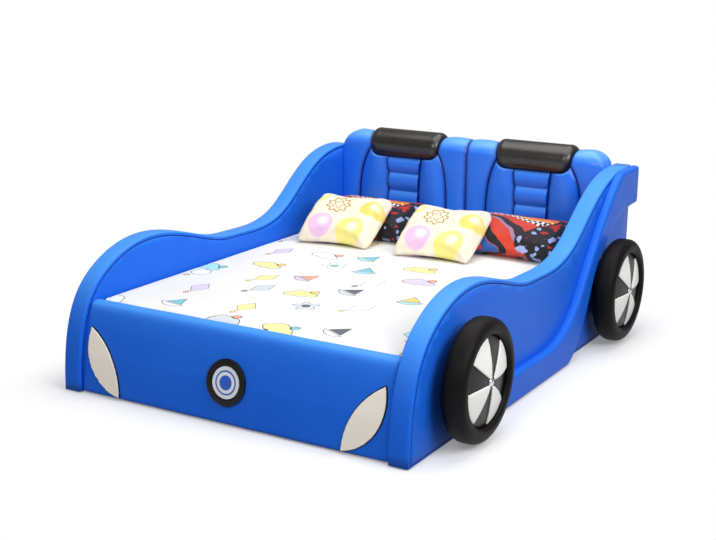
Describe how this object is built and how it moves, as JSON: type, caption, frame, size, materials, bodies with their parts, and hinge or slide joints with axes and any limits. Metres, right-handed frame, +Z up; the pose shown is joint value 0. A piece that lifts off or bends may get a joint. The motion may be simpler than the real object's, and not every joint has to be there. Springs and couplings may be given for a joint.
{
  "type": "children's car bed",
  "caption": "Upholstered children's double bed shaped like a sports car, with padded wheels on one side, a seat-back headboard, slats, mattress and pillows.",
  "frame": {"origin": "on the floor, under the middle of the whole bed's length and width, wheels included; the bed's own middle plane is at X = -0.0808 m", "axes": "+X the right-hand side of somebody lying in the bed, +Y towards the head end, +Z up"},
  "size_m": [1.8616, 2.33, 0.9072],
  "materials": {
    "blue_leather": "satin",
    "black_leather": "satin",
    "tyre_leather": "matt",
    "white_leather": "satin",
    "cream_leather": "satin",
    "badge_face": "satin",
    "hub_chrome": "polished",
    "plywood": "raw",
    "pine": "raw",
    "backing_cloth": "matt",
    "zinc_steel": "satin",
    "glide_plastic": "matt",
    "mattress_print": "matt",
    "red_print": "matt",
    "cream_print": "matt"
  },
  "bodies": {
    "bed_frame": {"side_cover_left": "blue_leather", "headboard_wing_left": "blue_leather", "headboard_center_left": "blue_leather", "seat_bolster_outer_left": "blue_leather", "seat_bolster_inner_left": "blue_leather", "seat_rib_pad_left": "blue_leather", "side_core_left": "plywood", "slat_rail_left": "pine", "head_pad_left": "black_leather", "headlight_left": "cream_leather", "side_cover_right": "blue_leather", "headboard_wing_right": "blue_leather", "headboard_center_right": "blue_leather", "seat_bolster_outer_right": "blue_leather", "seat_bolster_inner_right": "blue_leather", "seat_rib_pad_right": "blue_leather", "side_core_right": "plywood", "slat_rail_right": "pine", "head_pad_right": "black_leather", "headlight_right": "cream_leather", "fender_pad": "blue_leather", "wheel_board_front": "plywood", "tyre_front": "tyre_leather", "wheel_disc_front": "black_leather", "wheel_petals_front": "white_leather", "wheel_hub_front": "hub_chrome", "wheel_board_rear": "plywood", "tyre_rear": "tyre_leather", "wheel_disc_rear": "black_leather", "wheel_petals_rear": "white_leather", "wheel_hub_rear": "hub_chrome", "footboard_cover": "blue_leather", "footboard_core": "plywood", "headboard_core": "plywood", "headboard_back_cover": "backing_cloth", "badge_ring": "black_leather", "badge_disc": "badge_face", "center_beam": "pine", "center_legs": "pine", "slats": "pine", "corner_brackets": "zinc_steel", "bed_bolts": "zinc_steel", "floor_glides": "glide_plastic"},
    "mattress": {"mattress": "mattress_print"},
    "pillow_back_left": {"pillow_back_left": "red_print"},
    "pillow_front_left": {"pillow_front_left": "cream_print"},
    "pillow_back_right": {"pillow_back_right": "red_print"},
    "pillow_front_right": {"pillow_front_right": "cream_print"}
  },
  "joints": [
    {"name": "mattress_lift", "type": "slide", "parent": "bed_frame", "child": "mattress", "axis": [0, 0, 1], "range_m": [0, 0.74]},
    {"name": "pillow_back_left_lift", "type": "slide", "parent": "mattress", "child": "pillow_back_left", "axis": [0, 0, 1], "range_m": [0, 0.56]},
    {"name": "pillow_front_left_lift", "type": "slide", "parent": "pillow_back_left", "child": "pillow_front_left", "axis": [0, -0.3, 0.9539], "range_m": [0, 0.3]},
    {"name": "pillow_back_right_lift", "type": "slide", "parent": "mattress", "child": "pillow_back_right", "axis": [0, 0, 1], "range_m": [0, 0.56]},
    {"name": "pillow_front_right_lift", "type": "slide", "parent": "pillow_back_right", "child": "pillow_front_right", "axis": [0, -0.3, 0.9539], "range_m": [0, 0.3]}
  ]
}
